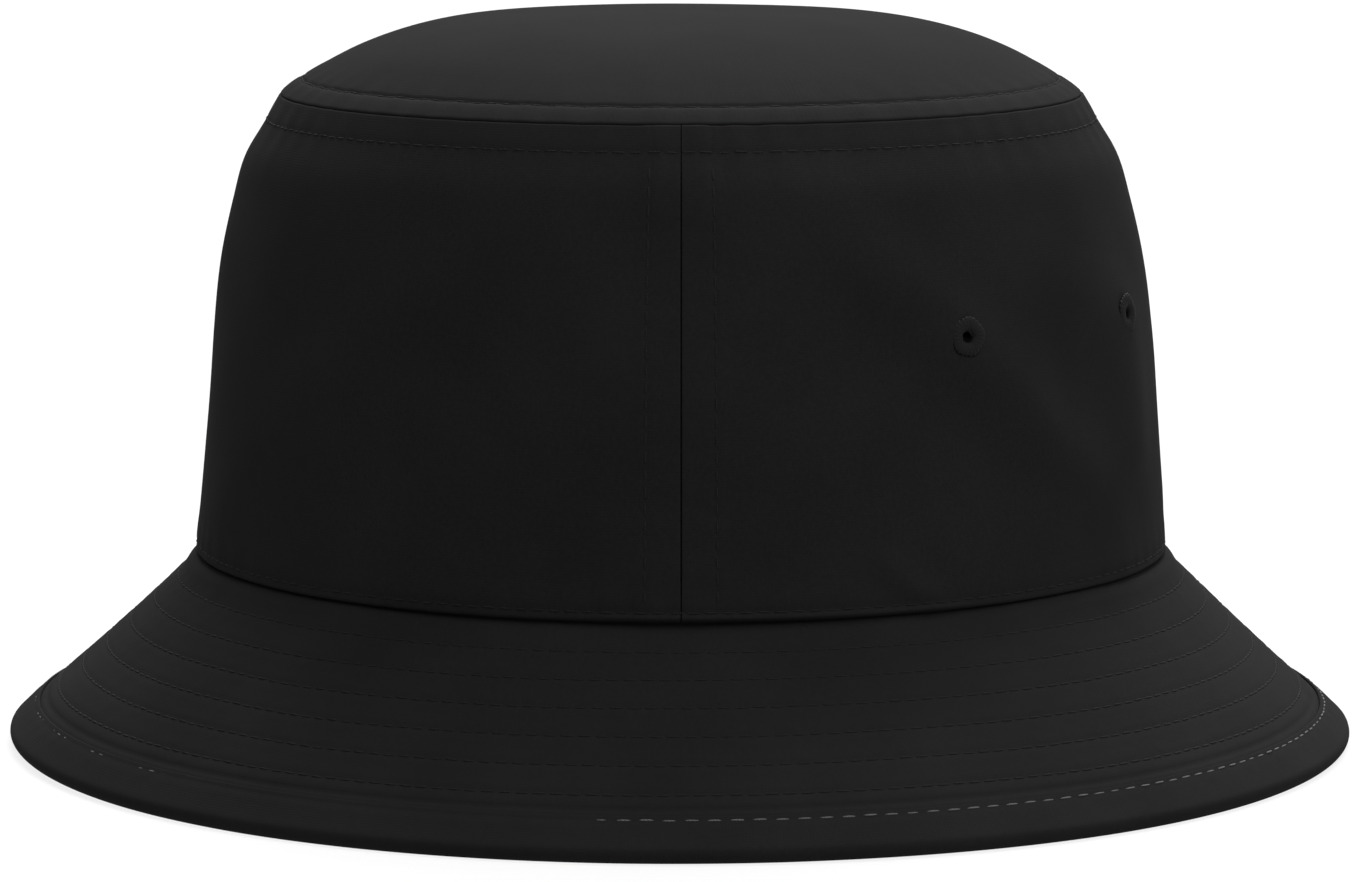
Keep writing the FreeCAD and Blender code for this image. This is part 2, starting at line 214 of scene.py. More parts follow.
def tip_lie(turn, r):
    t = math.radians(turn)
    edge = TIP_SEAM_R - r
    spot = Vector((r * math.sin(t) / 38, r * math.cos(t) / 38, 4.4))
    lie = 0.5 * noise.noise(spot) * ramp(edge, 0, 12)
    lie += 0.55 * bump(r * math.sin(t) + 45, 22) * ramp(edge, 2, 14)
    gather = math.sin(t * 61 + 2.2 * drift(turn, 0, 30, 3))
    lie += 0.10 * gather * bump(edge - 3.5, 4.0)
    lie += 0.14 * bump(edge - 2, 1.6) - 0.3 * bump(edge - TIP_ROW, 0.42)
    lie += 0.06 * (1 - ramp(edge, 6.5, 8.5))
    return lie


def row_dip(s, rows, wide):
    return sum(bump(s - row, wide) for row in rows)


def brim_lie(turn, s):
    """How the brim lies as a whole, all its layers together."""
    free = ramp(s, 0, 20)
    lie = (0.45 * drift(turn, s * 0.5, 60, 8) * free + 0.14 * drift(turn, s, 16, 9)) * ramp(s, 0, 4)
    return lie + 0.6 * bump(s - 2.2, 1.8) * ramp(abs(signed(turn) - 2), 18, 45)


def edge_lift(turn):
    """The brim's edge stands a little off the floor at the wearer's right, and less at the left."""
    t = signed(turn)
    return 0.8 * bump(t + 88, 26) + 0.3 * bump(t - 85, 22)


def brim_quilt(turn, s, seed):
    """What the rows of stitches do to one face of the brim."""
    quilt = 0.06 - 0.15 * row_dip(s, BRIM_ROWS, 0.7)
    ripple = math.sin(math.radians(turn) * 95 + 0.5 * s + 3 * drift(turn, s, 14, seed))
    near = row_dip(s, [row + 1.3 for row in BRIM_ROWS] + [row - 1.3 for row in BRIM_ROWS], 1.0)
    quilt += 0.045 * ripple * near * (0.7 + 0.8 * drift(turn, s, 30, seed + 1))
    quilt -= 0.26 * bump(s - STAY_ROW, 0.5)
    back = math.radians(abs(signed(turn - 180))) * (88 + 0.7 * s)
    return quilt - 0.35 * bump(back, 0.5) + 0.12 * (1 - ramp(back, 5, 7))


# ---- the skin, round: a place in the hat, in metres


def settle(flat, turn, depth, lie):
    (r, z), n = flat
    t = math.radians(turn)
    r, z = r + n[0] * (depth - lie), z + n[1] * (depth - lie)
    return Vector((r * math.sin(t), -OVAL_RATIO * r * math.cos(t), z)) * MM


def side(turn, z, depth):
    return settle(side_flat(z), turn, depth, side_lie(turn, z))


def tip(turn, r, depth):
    return settle(tip_flat(r), turn, depth, tip_lie(turn, r) if r > 0.01 else tip_lie(0, 0))


def brim(turn, s, depth):
    """The brim's skin is puffed and dipped at its two faces, and less between them."""
    through = depth / BRIM_STACK
    quilt = brim_quilt(turn, s, 10) * max(0, 1 - through) - brim_quilt(turn, s, 20) * min(1, max(0, through))
    if depth < 0 or depth > BRIM_STACK:  # outside its faces there is no quilting
        quilt = 0
    calm = 1 - ramp(s, BRIM_END - BINDING_WIDTH - 1.5, BRIM_END - BINDING_WIDTH + 1)
    return settle(brim_flat(s), turn, depth, brim_lie(turn, s) * (1 - 0.75 * ramp(s, 30, 46)) + quilt * calm
                  + edge_lift(turn) * ramp(s, 12, 44))


# ---- making a mesh


def spread(start, end, step):
    count = max(1, round(abs(end - start) / step))
    return [start + (end - start) * n / count for n in range(count + 1)]


def rolled(depth, off, radius=0.45):
    """The depth of a skin near a turned edge, off millimetres from it."""
    if off >= radius:
        return depth
    return depth + radius - math.sqrt(max(0, radius ** 2 - (radius - off) ** 2))


def even_turns(step, r=100.0):
    count = round(2 * math.pi * r / step)
    return [360.0 * n / count for n in range(count)]


SEWN = {}  # the pieces made so far, by name


def finish_mesh(bm, name, material):
    mesh = bpy.data.meshes.new(name + "_sewn")
    bm.to_mesh(mesh)
    bm.free()
    mesh.shade_smooth()
    piece = SEWN[name] = bpy.data.objects.new(name + "_sewn", mesh)
    bpy.context.scene.collection.objects.link(piece)
    mesh.materials.append(material)
    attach(piece, "root")
    return piece


def wrapped(section, turns, whole, wide=SIDE_R):
    """A bmesh of a closed section of (skin, place, depth) points, wrapped through the turns.

    It is a flat grid whose rows become the section's points and whose columns become turns. Its UV map is in
    metres, along the hat and across the cloth.
    """
    turns = list(turns) + ([turns[0] + 360] if whole else [])
    section = list(section) + [section[0]]
    start = turns[0]
    spots = [skin(start, a, d(start) if callable(d) else d) for skin, a, d in section]
    run = [0.0]
    for p, q in zip(spots, spots[1:]):
        run.append(run[-1] + (q - p).length)
    bm = bmesh.new()
    bmesh.ops.create_grid(bm, x_segments=len(turns) - 1, y_segments=len(section) - 1, size=1.0)
    uv = bm.loops.layers.uv.new("cloth")
    for v in bm.verts:
        turn = turns[round((v.co.x + 1) / 2 * (len(turns) - 1))]
        k = round((v.co.y + 1) / 2 * (len(section) - 1))
        skin, a, d = section[k]
        for loop in v.link_loops:
            loop[uv].uv = (math.radians(turn) * wide * MM, run[k])
        v.co = skin(turn, a, d(turn) if callable(d) else d)
    bmesh.ops.remove_doubles(bm, verts=bm.verts, dist=2e-7)
    if not whole:
        bmesh.ops.holes_fill(bm, edges=[e for e in bm.edges if e.is_boundary], sides=0)
    bmesh.ops.recalc_face_normals(bm, faces=bm.faces)
    return bm


def layer(skin, start, end, near, far, step):
    """A plain layer of cloth between two places and two depths, as a closed section."""
    places = spread(start, end, step)
    return ([(skin, a, near) for a in places] + [(skin, end, (near + far) / 2)]
            + [(skin, a, far) for a in reversed(places)] + [(skin, start, (near + far) / 2)])


def cloth_piece(name, section, turns, whole, material, nodes, wide=SIDE_R):
    piece = finish_mesh(wrapped(section, turns, whole, wide), name, material)
    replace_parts(piece, *nodes)
    return piece


# ---- materials


def cloth(name, colour, weave=0.5, bump_depth=0.05, mottle=0.12, twill=False):
    """A matt woven cloth: over-and-under threads in relief, with fine fuzz, a little unevenly dyed."""
    mat = bpy.data.materials.new(name)
    mat.use_nodes = True
    nodes, links = mat.node_tree.nodes, mat.node_tree.links
    shader = nodes["Principled BSDF"]
    shader.inputs["Roughness"].default_value = 0.92
    shader.inputs["Specular IOR Level"].default_value = 0.02
    uv = nodes.new("ShaderNodeUVMap")
    uv.uv_map = "cloth"
    place = nodes.new("ShaderNodeMapping")
    if twill:
        place.inputs["Rotation"].default_value = (0, 0, math.radians(45))
    links.new(uv.outputs["UV"], place.inputs["Vector"])
    threads = []
    for direction in ("X", "Y"):
        wave = nodes.new("ShaderNodeTexWave")
        wave.bands_direction = direction
        wave.inputs["Scale"].default_value = 0.314 / (weave * MM)
        wave.inputs["Distortion"].default_value = 1.2
        wave.inputs["Detail"].default_value = 1.0
        wave.inputs["Detail Scale"].default_value = 0.3
        links.new(place.outputs["Vector"], wave.inputs["Vector"])
        threads.append(wave)
    weave_height = nodes.new("ShaderNodeMath")
    weave_height.operation = "MULTIPLY"
    links.new(threads[0].outputs["Fac"], weave_height.inputs[0])
    links.new(threads[1].outputs["Fac"], weave_height.inputs[1])
    bump_node = nodes.new("ShaderNodeBump")
    bump_node.inputs["Distance"].default_value = bump_depth * MM
    bump_node.inputs["Strength"].default_value = 0.3
    links.new(weave_height.outputs["Value"], bump_node.inputs["Height"])
    spots = nodes.new("ShaderNodeTexCoord")
    slow = nodes.new("ShaderNodeTexNoise")
    slow.inputs["Scale"].default_value = 45
    slow.inputs["Detail"].default_value = 3
    links.new(spots.outputs["Object"], slow.inputs["Vector"])
    fibre = nodes.new("ShaderNodeTexNoise")
    fibre.inputs["Scale"].default_value = 1500
    fibre.inputs["Detail"].default_value = 2
    links.new(spots.outputs["Object"], fibre.inputs["Vector"])
    fuzz = nodes.new("ShaderNodeBump")
    fuzz.inputs["Distance"].default_value = 0.03 * MM
    fuzz.inputs["Strength"].default_value = 0.4
    links.new(fibre.outputs["Fac"], fuzz.inputs["Height"])
    links.new(bump_node.outputs["Normal"], fuzz.inputs["Normal"])
    links.new(fuzz.outputs["Normal"], shader.inputs["Normal"])
    dye_and_painted_shade = nodes.new("ShaderNodeValToRGB")
    dark = [c * (1 - mottle) for c in colour]
    light = [c * (1 + mottle) for c in colour]
    dye_and_painted_shade.color_ramp.elements[0].position, dye_and_painted_shade.color_ramp.elements[0].color = 0.35, (*dark, 1)
    dye_and_painted_shade.color_ramp.elements[1].position, dye_and_painted_shade.color_ramp.elements[1].color = 0.65, (*light, 1)
    blend = nodes.new("ShaderNodeMix")
    blend.inputs["Factor"].default_value = 0.5
    links.new(slow.outputs["Fac"], blend.inputs[2])
    links.new(fibre.outputs["Fac"], blend.inputs[3])
    links.new(blend.outputs[0], dye_and_painted_shade.inputs["Fac"])
    links.new(dye_and_painted_shade.outputs["Color"], shader.inputs["Base Color"])
    return mat


def yarn(name, colour, roughness=0.8):
    """Sewing thread: a fine twist along it, with painted shade in the twist's grooves and a painted highlight
    on its ridges.
    """
    mat = bpy.data.materials.new(name)
    mat.use_nodes = True
    nodes, links = mat.node_tree.nodes, mat.node_tree.links
    shader = nodes["Principled BSDF"]
    shader.inputs["Roughness"].default_value = roughness
    shader.inputs["Specular IOR Level"].default_value = 0.05
    spots = nodes.new("ShaderNodeTexCoord")
    twist = nodes.new("ShaderNodeTexWave")
    twist.bands_direction = "DIAGONAL"
    twist.inputs["Scale"].default_value = 0.314 / (0.3 * MM)
    twist.inputs["Distortion"].default_value = 1.5
    links.new(spots.outputs["Object"], twist.inputs["Vector"])
    strands = nodes.new("ShaderNodeBump")
    strands.inputs["Distance"].default_value = 0.04 * MM
    strands.inputs["Strength"].default_value = 0.6
    links.new(twist.outputs["Fac"], strands.inputs["Height"])
    links.new(strands.outputs["Normal"], shader.inputs["Normal"])
    # painted shade and highlight: the colour follows the twist's relief, darker in its grooves and lighter on
    # its ridges
    dye_and_painted_shade = nodes.new("ShaderNodeValToRGB")
    dye_and_painted_shade.color_ramp.elements[0].color = (*[c * 0.7 for c in colour], 1)
    dye_and_painted_shade.color_ramp.elements[1].color = (*[c * 1.2 for c in colour], 1)
    links.new(twist.outputs["Fac"], dye_and_painted_shade.inputs["Fac"])
    links.new(dye_and_painted_shade.outputs["Color"], shader.inputs["Base Color"])
    return mat


BLACK = (0.0090, 0.0090, 0.0093)
shell_cloth = cloth("black shell cloth", BLACK)
binding_cloth = cloth("black binding tape", (0.0088, 0.0088, 0.0092), weave=0.55)
backing = cloth("crown backing", (0.016, 0.016, 0.017), weave=0.7)
tape_cloth = cloth("seam tape", (0.011, 0.011, 0.012), weave=0.55, twill=True)
stiffening = cloth("brim stiffening", (0.014, 0.014, 0.0145), weave=0.8)
sweat_cloth = cloth("sweatband cloth", (0.0095, 0.0095, 0.0105), weave=0.5, twill=True)
core_felt = cloth("sweatband felt", (0.013, 0.013, 0.0135), weave=0.8)
label_cloth = cloth("label satin", (0.42, 0.42, 0.41), weave=0.3, mottle=0.05)
# black, its own colour, made a little lighter than the shell cloth: painted light that makes up for the shade
# in the grooves where the stitches sit
black_yarn = yarn("black sewing thread", (0.0095, 0.0095, 0.0098))
grey_yarn = yarn("grey binding thread", (0.085, 0.085, 0.083))
eyelet_yarn = yarn("black embroidery thread", (0.0078, 0.0078, 0.0081), roughness=0.7)


# ---- the crown


def edge_places(start, end, step, fine_start=True, fine_end=True):
    """Places along a skin, close together by its turned edges and the rows of stitches beside them."""
    fine = [0.0, 0.06, 0.16, 0.3, 0.5, 0.9, 1.3, 1.6, 1.9, 2.5,
            3.0, 3.4, 3.65, 3.9, 4.15, 4.4, 4.6, 4.85, 5.2, 5.8]
    sign = 1 if end > start else -1
    head = [start + sign * f for f in fine] if fine_start else [start]
    tail = [end - sign * f for f in reversed(fine)] if fine_end else [end]
    return head + spread(head[-1], tail[0], step)[1:-1] + tail


def make_tip():
    step = TIP_SEAM_R - ALLOWANCE
    outer = [(tip, r, rolled(0, TIP_SEAM_R - r)) for r in edge_places(0, TIP_SEAM_R, 1.3, False)]
    rim = [(tip, r, ALLOWANCE_DEPTH) for r in spread(TIP_SEAM_R, step, 1.0)]
    under = [(tip, r, CLOTH) for r in spread(step - 0.3, 0, 5.0)]
    cloth_piece("crown_tip", outer + rim + under, even_turns(1.5, 73), True,
                shell_cloth, ["crown_tip"], 40)
    reach = step - 0.5
    near, far = CLOTH + LAYER_GAP, CLOTH + INTERLINING + LAYER_GAP
    lining = layer(tip, 0.0, reach, near, far, 4.0)[:-1]
    cloth_piece("tip_interlining", lining, even_turns(3, 66), True, backing,
                ["tip_interlining"], 40)


def panel_turns(start):
    """Turns across half of the crown, close together by its front and back edges."""
    off = [HALF_SEAM, 0.12, 0.18, 0.28, 0.5, 0.95, 1.4, 2.0, 2.8, 3.6,
           4.4, 5.0, 5.4, 5.8, 6.2, 6.6, 7.1, 7.8, 8.8]
    head = [math.degrees(o / SIDE_R) for o in off]
    middle = spread(head[-1], 180 - head[-1], 0.95)[1:-1]
    return [start + t for t in head + middle + [180 - t for t in reversed(head)]]


def edge_depth(depth, start, z):
    """A depth that also rolls in at the panel's front and back edges, less where other seams hold them."""
    radius = 0.06 + 0.2 * ramp(TIP_SEAM_Z - z, 4, 9) * ramp(z - CROWN_BASE_Z, 2, 9)

    def at(turn):
        off = math.radians(min(turn - start, start + 180 - turn)) * SIDE_R - HALF_SEAM
        return rolled(depth, off, radius)
    return at


def make_side_panel(name, start, vents):
    low, high = CROWN_BASE_Z + ALLOWANCE, TIP_SEAM_Z - ALLOWANCE
    outer = [(side, z, edge_depth(rolled(rolled(0, TIP_SEAM_Z - z), z - CROWN_BASE_Z, 0.6), start, z))
             for z in edge_places(TIP_SEAM_Z, CROWN_BASE_Z, 1.25)]
    hem = [(side, z, ALLOWANCE_DEPTH) for z in spread(CROWN_BASE_Z, low, 1.4)]
    inner = [(side, z, CLOTH) for z in spread(low + 0.3, high - 0.3, 3.0)]
    head = [(side, z, ALLOWANCE_DEPTH) for z in spread(high, TIP_SEAM_Z, 1.4)]
    piece = cloth_piece(name, outer + hem + inner + head, panel_turns(start), False,
                        shell_cloth, [name])
    punch_vents(piece, vents, VENT_CUT)
    short = "side_interlining_" + name.rsplit("_", 1)[-1]
    off = math.degrees((ALLOWANCE + 0.5) / SIDE_R)
    near, far = CLOTH + LAYER_GAP, CLOTH + INTERLINING + LAYER_GAP
    lining = cloth_piece(short, layer(side, high - 0.5, low + 0.5, near, far, 3.0),
                         spread(start + off, start + 180 - off, 1.5), False, backing, [short])
    punch_vents(lining, vents, LINING_CUT)


def vent_frame(turn):
    """The middle of a vent on the skin, and its matrix with Z pointing out of the cloth."""
    at = side(turn, EYELET_Z, 0)
    out = (at - side(turn, EYELET_Z, 1.0)).normalized()
    along = (side(turn + 0.5, EYELET_Z, 0) - side(turn - 0.5, EYELET_Z, 0)).normalized()
    up = out.cross(along).normalized()
    along = up.cross(out)
    turned = Matrix((along, up, out)).transposed().to_4x4()
    return Matrix.Translation(at) @ turned


def punch_vents(piece, vents, radius):
    """Cuts the round vents through a piece of cloth."""
    bm = bmesh.new()
    for turn in vents:
        bmesh.ops.create_cone(bm, cap_ends=True, segments=32, radius1=radius * MM, radius2=radius * MM,
                              depth=8 * MM, matrix=vent_frame(turn))
    punch = bpy.data.objects.new("punch", bpy.data.meshes.new("punch"))
    bm.to_mesh(punch.data)
    bm.free()
    bpy.context.scene.collection.objects.link(punch)
    cut = piece.modifiers.new("vents", "BOOLEAN")
    cut.operation, cut.solver, cut.object = "DIFFERENCE", "EXACT", punch
    bpy.context.view_layer.update()
    cut_mesh = bpy.data.meshes.new_from_object(piece.evaluated_get(bpy.context.evaluated_depsgraph_get()))
    piece.modifiers.clear()
    piece.data = cut_mesh
    bpy.data.objects.remove(punch)


def make_eyelet(name, turn):
    """An embroidered vent: close stitches radiating round a hole, wrapped through the cloth."""
    bm = bmesh.new()
    outline = [(1.0, -0.55), (1.3, -1.0), (2.0, -1.28), (2.7, -1.25), (3.25, -1.0), (3.45, -0.72),
               (2.2, -0.68), (1.85, -0.35), (2.2, 0.02), (3.45, 0.03), (3.2, 0.2), (2.7, 0.36),
               (2.0, 0.42), (1.3, 0.24), (1.0, -0.15)]
    first = [bm.verts.new((r * MM, 0, z * MM)) for r, z in outline]
    edges = [bm.edges.new((p, q)) for p, q in zip(first, first[1:] + first[:1])]
    bmesh.ops.spin(bm, geom=first + edges, cent=(0, 0, 0), axis=(0, 0, 1), angle=2 * math.pi,
                   steps=96, use_merge=True, use_duplicate=False)
    uv = bm.loops.layers.uv.new("cloth")
    for v in bm.verts:
        a = math.atan2(v.co.y, v.co.x)
        stitch = 1 + 0.025 * math.sin(a * 24) + 0.03 * math.sin(a * 5 + 1)
        v.co.x, v.co.y = v.co.x * stitch, v.co.y * stitch
        if v.co.z > 0.03 * MM:
            v.co.z += 0.035 * MM * math.sin(a * 24)
    for face in bm.faces:
        for loop in face.loops:
            loop[uv].uv = loop.vert.co.x, loop.vert.co.y
    bmesh.ops.recalc_face_normals(bm, faces=bm.faces)
    bmesh.ops.transform(bm, matrix=vent_frame(turn), verts=bm.verts)
    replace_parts(finish_mesh(bm, name, eyelet_yarn), name)


def make_tapes():
    reach = ALLOWANCE - 0.4
    near, far = ALLOWANCE_DEPTH + TAPE_GAP, ALLOWANCE_DEPTH + TAPE
    rim_in = spread(TIP_SEAM_R - reach, TIP_SEAM_R, 1.1)
    rim_out = spread(TIP_SEAM_R, TIP_SEAM_R - reach, 1.1)
    down = spread(TIP_SEAM_Z, TIP_SEAM_Z - reach, 1.1)
    up = spread(TIP_SEAM_Z - reach, TIP_SEAM_Z, 1.1)
    section = [(tip, r, near) for r in rim_in] + [(side, z, near) for z in down[1:]]
    section += [(side, z, far) for z in up] + [(tip, r, far) for r in rim_out[1:]]
    cloth_piece("tip_seam_tape", section, even_turns(1.6, 73), True, tape_cloth,
                ["tip_seam_tape"], 73)
    half = math.degrees(reach / SIDE_R)
    for name, turn in (("front_seam_tape", 0.0), ("back_seam_tape", 180.0)):
        strip = layer(side, TIP_SEAM_Z - ALLOWANCE - 0.2, CROWN_BASE_Z + ALLOWANCE + 0.4, near, far, 1.5)
        cloth_piece(name, strip, spread(turn - half, turn + half, 0.6), False, tape_cloth,
                    [name])


# ---- the brim


def make_brim():
    tab_top = CROWN_BASE_Z + ALLOWANCE
    tab = spread(tab_top, CROWN_BASE_Z, 1.4)
    run = spread(0.0, BRIM_END, 0.5)
    back = spread(BRIM_END, 0.3, 1.0)
    section = [(side, z, ALLOWANCE_DEPTH + SNUG) for z in tab] + [(brim, s, 0.0) for s in run]
    section += [(brim, s, CLOTH) for s in back] + [(side, z, TAB_DEPTH) for z in reversed(tab)]
    cloth_piece("brim_top", section, even_turns(1.65, 112), True, shell_cloth,
                ["brim_top"], 106)
    between = layer(brim, 0.9, BRIM_END, CLOTH + LAYER_GAP, CLOTH + STIFFENER - LAYER_GAP, 1.5)
    cloth_piece("brim_stiffener", between, even_turns(3.2, 112), True, stiffening,
                ["brim_stiffener"], 106)
    upper, lower = spread(0.9, BRIM_END, 1.0), spread(BRIM_END, 0.9, 0.5)
    section = [(brim, s, CLOTH + STIFFENER) for s in upper] + [(brim, s, BRIM_STACK) for s in lower]
    cloth_piece("brim_under", section, even_turns(1.65, 112), True, shell_cloth,
                ["brim_under"], 106)


def binding(turn, s, depth):
    """The skin of the edge binding: s runs on past the brim's end round its fold."""
    t = math.radians(turn)
    start = BRIM_END - BINDING_WIDTH
    pull = 0.16 * bump(s - BINDING_ROW, 0.6)
    ripple = math.sin(t * 118 + 2.5 * drift(turn, s, 25, 31))
    rise = 0.05 * ripple * bump(s - BINDING_ROW - 1.4, 1.5) - pull
    middle = BRIM_STACK / 2
    outward = rise if depth < middle else -rise
    if not (depth < 0.01 or depth > BRIM_STACK - 0.01) or s < start + 0.2:
        outward = 0
    return settle(brim_flat(s), turn, depth - outward, 0.25 * brim_lie(turn, 40) + edge_lift(turn))


def make_binding():
    """The bias tape folded round the brim's edge, with its cut edges turned under."""
    start, top, under = BRIM_END - BINDING_WIDTH, -BINDING, BRIM_STACK + BINDING
    radius, middle = (under - top) / 2, BRIM_STACK / 2
    centre_z = BRIM_ROOT[1] - radius - middle * math.cos(BRIM_SLOPE) + 0.03
    centre = centre_z / math.sin(BRIM_SLOPE)
    lip = [(0.0, 0.32), (0.04, 0.2), (0.14, 0.08), (0.3, 0.0)]
    places = spread(0.7, centre - start, 0.6)
    arc = [(centre + radius * math.sin(a), middle - radius * math.cos(a))
           for a in spread(0, math.pi, math.pi / 14)[1:-1]]
    outer = [(start + s, top + d) for s, d in lip] + [(start + s, top) for s in places]
    outer += arc + [(start + s, under) for s in reversed(places)]
    outer += [(start + s, under - d) for s, d in reversed(lip)]
    inner = [(start, BRIM_STACK + SNUG)]
    inner += [(s, BRIM_STACK + BINDING_GAP) for s in spread(start + 0.5, BRIM_END, 1.2)]
    inner += [(s, -BINDING_GAP) for s in spread(BRIM_END, start + 0.5, 1.2)] + [(start, -SNUG)]
    section = [(binding, s, d) for s, d in outer + inner]
    cloth_piece("brim_edge_binding", section, even_turns(1.6, 126), True, binding_cloth,
                ["brim_edge_binding"], 119)


# ---- the sweatband and labels


def band_lie(turn, z):
    """The band's inner face is quilted by its one row and softly wavy at its top."""
    wave = 0.25 * drift(turn, z, 30, 41) * ramp(z, SWEATBAND_ROW_Z + 2, 60)
    dip = 0.22 * bump(z - SWEATBAND_ROW_Z, 0.8)
    return wave, dip


def band(turn, z, depth):
    wave, dip = band_lie(turn, z)
    inner = ramp(depth, TAB_DEPTH + 0.6, SWEATBAND_DEPTH)
    join = 0.3 * bump(math.radians(signed(turn - 180)) * SIDE_R, 0.6) * inner
    return settle(side_flat(z), turn, depth - (dip + join) * inner, wave * ramp(z, 45, 66))


def make_sweatband():
    near, far = TAB_DEPTH + SNUG, SWEATBAND_DEPTH
    fold_z, radius = SWEATBAND_TOP_Z - (far - near) / 2, (far - near) / 2
    middle = (near + far) / 2
    cloth_turn = [(fold_z + radius * math.sin(a), middle - radius * math.cos(a))
                  for a in spread(0, math.pi, math.pi / 10)]
    inside = radius - SWEATBAND_CLOTH
    lining_turn = [(fold_z + inside * math.sin(a), middle + inside * math.cos(a))
                   for a in spread(0, math.pi, math.pi / 6)]
    outer = [(z, near) for z in spread(SWEATBAND_BOTTOM_Z, fold_z, 2.0)[:-1]]
    inner = [(z, far) for z in spread(fold_z, SWEATBAND_BOTTOM_Z, 0.8)[1:]]
    back_up = [(z, far - SWEATBAND_CLOTH) for z in spread(SWEATBAND_BOTTOM_Z, fold_z, 1.6)[:-1]]
    down = [(z, near + SWEATBAND_CLOTH) for z in spread(fold_z, SWEATBAND_BOTTOM_Z, 2.0)[1:]]
    section = [(band, z, d) for z, d in outer + cloth_turn + inner + back_up + lining_turn + down]
    cloth_piece("sweatband", section, even_turns(1.8, 90), True, sweat_cloth,
                ["sweatband"])
    core = layer(band, SWEATBAND_BOTTOM_Z, fold_z + inside * 0.7, near + SWEATBAND_CLOTH + LAYER_GAP,
                 far - SWEATBAND_CLOTH - LAYER_GAP, 2.4)
    cloth_piece("sweatband_core", core, even_turns(3, 90), True, core_felt,
                ["sweatband_core"])


def make_label(name, size, turn):
    """A blank woven label, sewn flat to the band with its edges a little proud."""
    half = math.degrees(size[0] / 2 / 84)
    low = SWEATBAND_ROW_Z + 0.5

    def skin(at, z, depth):
        off = min(abs(at - turn + half), abs(at - turn - half)) * 1.5
        lift = 0.12 * (1 - ramp(off, 0, 2.5)) + 0.1 * noise.noise(Vector((at * 0.4, z * 0.2, 3)))
        return band(at, z, depth + max(0, lift))

    strip = layer(skin, low + size[1], low, SWEATBAND_DEPTH + 0.04, SWEATBAND_DEPTH + LABEL, 1.0)
    cloth_piece(name, strip, spread(turn - half, turn + half, 0.7), False, label_cloth, [name])


# ---- stitches


def even_stitches(skin, place, depth, pitch, start=180.6, end=539.4):
    """The turns of stitches at an even pitch along a ring."""
    turns, turn = [], start
    while turn < end:
        turns.append(turn % 360)
        turn += pitch * MM / (skin(turn + 0.5, place, depth) - skin(turn - 0.5, place, depth)).length
    return turns


def plain_stitch():
    """A short thread along X, thickest in its middle, that tapers to its ends."""
    bm = bmesh.new()
    bmesh.ops.create_uvsphere(bm, u_segments=6, v_segments=6, radius=1.0,
                              matrix=Matrix.Rotation(math.pi / 2, 4, "Y"))
    mesh = bpy.data.meshes.new("plain stitch")
    bm.to_mesh(mesh)
    bm.free()
    return mesh


STITCH = plain_stitch()


def add_stitch(bm, at, along, out, length, wide, high):
    across = out.cross(along).normalized()
    out = along.cross(across)
    turned = Matrix((along * length / 2, across * wide / 2, out * high / 2)).transposed().to_4x4()
    copy = STITCH.copy()
    copy.transform(Matrix.Translation(at) @ turned)
    bm.from_mesh(copy)
    bpy.data.meshes.remove(copy)


def stitch_ring(bm, skin, place, face, pitch=STITCH_PITCH, wide=STITCH_WIDE, high=STITCH_HIGH,
                raised=0.02, sink=lambda turn, n: 0.0):
    """A row all the way round. face is -1 on the outer face at depth 0, or the depth of the inner face."""
    outer = face < 0
    depth = 0.0 if outer else face
    for n, turn in enumerate(even_stitches(skin, place, depth, pitch)):
        at = skin(turn, place, depth)
        along = (skin(turn + 0.4, place, depth) - skin(turn - 0.4, place, depth)).normalized()
        out = (at - skin(turn, place, depth + 0.6)).normalized() * (1 if outer else -1)
        stray = 0.04 * math.sin(n * 2.4) * MM
        lift = (raised - sink(turn, n)) * MM
        add_stitch(bm, at + out * lift + out.cross(along) * stray, along, out,
                   STITCH_LENGTH * MM, wide * MM, high * MM)


def thread_sink(turn, n):
    """How deep the binding's thread is pulled in: unevenly, and most at the wearer's front right."""
    t = signed(turn)
    buried = 0.13 * ramp(-t, 2, 9) * (1 - ramp(-t, 34, 48)) + 0.16 * ramp(-t, 4, 12) * (1 - ramp(-t, 85, 110))
    return buried + 0.05 + 0.05 * math.sin(n * 5.1) + 0.05 * math.sin(n * 1.7 + 1) * ramp(t, 8, 20)


def stitch_piece(name, bm, material):
    uv = bm.loops.layers.uv.new("cloth")
    for face in bm.faces:
        for loop in face.loops:
            loop[uv].uv = loop.vert.co.x, loop.vert.co.z
    bmesh.ops.recalc_face_normals(bm, faces=bm.faces)
    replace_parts(finish_mesh(bm, name, material), name)


